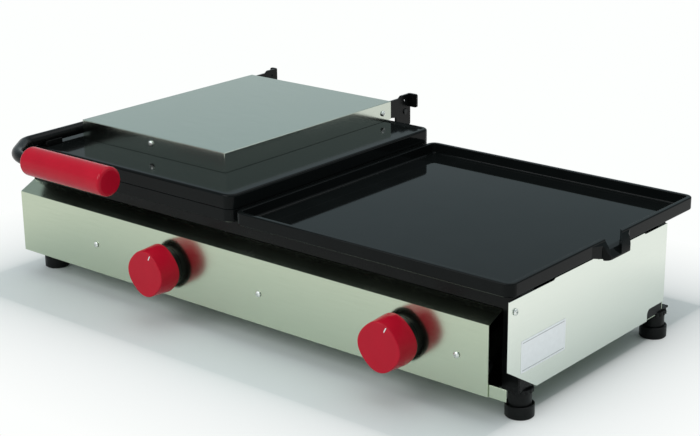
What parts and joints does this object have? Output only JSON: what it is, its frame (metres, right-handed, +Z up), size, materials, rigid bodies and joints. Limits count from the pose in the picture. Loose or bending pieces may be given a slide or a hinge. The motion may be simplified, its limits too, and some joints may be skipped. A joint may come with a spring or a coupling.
{
  "type": "gas panini press",
  "caption": "Countertop gas cooker: a hinged press with a handle and a stainless cover on the left, an open griddle tray with a drain spout on the right, red knobs and black feet.",
  "frame": {"origin": "centre of the whole object's footprint box, on the surface it stands on", "axes": "+X to the right seen from the front, +Y to the rear, +Z up"},
  "size_m": [0.781, 0.5206, 0.204],
  "materials": {
    "stainless": "fine brushed",
    "black_paint": "satin black paint",
    "black_plate": "satin black enamel on plate",
    "black_plastic": "satin",
    "red_plastic": "gloss",
    "black_rubber": "matte",
    "brass": "turned",
    "plated_steel": "zinc plated",
    "white_print": "matte"
  },
  "bodies": {
    "cooker_body": {"front_panel": "stainless", "base_pan": "stainless", "side_panel_left": "stainless", "side_panel_right": "stainless", "rear_panel": "stainless", "front_rail": "black_paint", "rear_rail": "black_paint", "centre_rail": "black_paint", "foot_bracket_front_left": "black_paint", "foot_bracket_rear_left": "black_paint", "foot_bracket_front_right": "black_paint", "foot_bracket_rear_right": "black_paint", "hinge_post_left": "black_paint", "hinge_post_right": "black_paint", "griddle_tray": "black_plate", "lower_press_plate": "black_plate", "knob_bezel_left": "black_plastic", "knob_bezel_right": "black_plastic", "foot_front_left": "black_rubber", "foot_front_right": "black_rubber", "foot_rear_left": "black_rubber", "foot_rear_right": "black_rubber", "valve_left": "brass", "valve_right": "brass", "gas_inlet": "brass", "hinge_pin_left": "plated_steel", "hinge_pin_right": "plated_steel", "post_bolt_left_1": "plated_steel", "post_bolt_left_2": "plated_steel", "post_bolt_right_1": "plated_steel", "post_bolt_right_2": "plated_steel", "burner_left": "plated_steel", "burner_right": "plated_steel", "gas_manifold": "plated_steel", "manifold_clip_1": "plated_steel", "manifold_clip_2": "plated_steel", "manifold_clip_3": "plated_steel", "fascia_screw_1": "plated_steel", "fascia_screw_2": "plated_steel", "fascia_screw_3": "plated_steel", "side_screw_left": "plated_steel", "side_screw_right": "plated_steel"},
    "press_lid": {"upper_press_plate": "black_plate", "press_cover": "stainless", "cover_bracket": "plated_steel", "hinge_arm_left": "black_paint", "hinge_arm_right": "black_paint", "handle_tube": "black_paint", "handle_grip": "red_plastic", "handle_clamp": "black_paint", "handle_saddle": "black_paint", "cover_screw_front": "plated_steel", "cover_screw_left": "plated_steel", "cover_screw_right": "plated_steel"},
    "stem_push_left": {"stem_washer_left": "plated_steel"},
    "knob_turn_left": {"knob_left": "red_plastic", "valve_stem_left": "brass"},
    "stem_push_right": {"stem_washer_right": "plated_steel"},
    "knob_turn_right": {"knob_right": "red_plastic", "valve_stem_right": "brass"}
  },
  "joints": [
    {"name": "press_lid_hinge", "type": "hinge", "parent": "cooker_body", "child": "press_lid", "pos_m": [-0.2105, 0.24875, 0.1787], "axis": [-1, 0, 0], "range_deg": [0, 95]},
    {"name": "knob_left_push", "type": "slide", "parent": "cooker_body", "child": "stem_push_left", "axis": [0, 1, 0], "range_m": [0, 0.003], "stiffness_N_per_m": 1000},
    {"name": "knob_left_turn", "type": "hinge", "parent": "stem_push_left", "child": "knob_turn_left", "pos_m": [-0.1138, -0.18025, 0.07], "axis": [0, -1, 0], "range_deg": [0, 180]},
    {"name": "knob_right_push", "type": "slide", "parent": "cooker_body", "child": "stem_push_right", "axis": [0, 1, 0], "range_m": [0, 0.003], "stiffness_N_per_m": 1000},
    {"name": "knob_right_turn", "type": "hinge", "parent": "stem_push_right", "child": "knob_turn_right", "pos_m": [0.2437, -0.18025, 0.07], "axis": [0, -1, 0], "range_deg": [0, 180]}
  ]
}
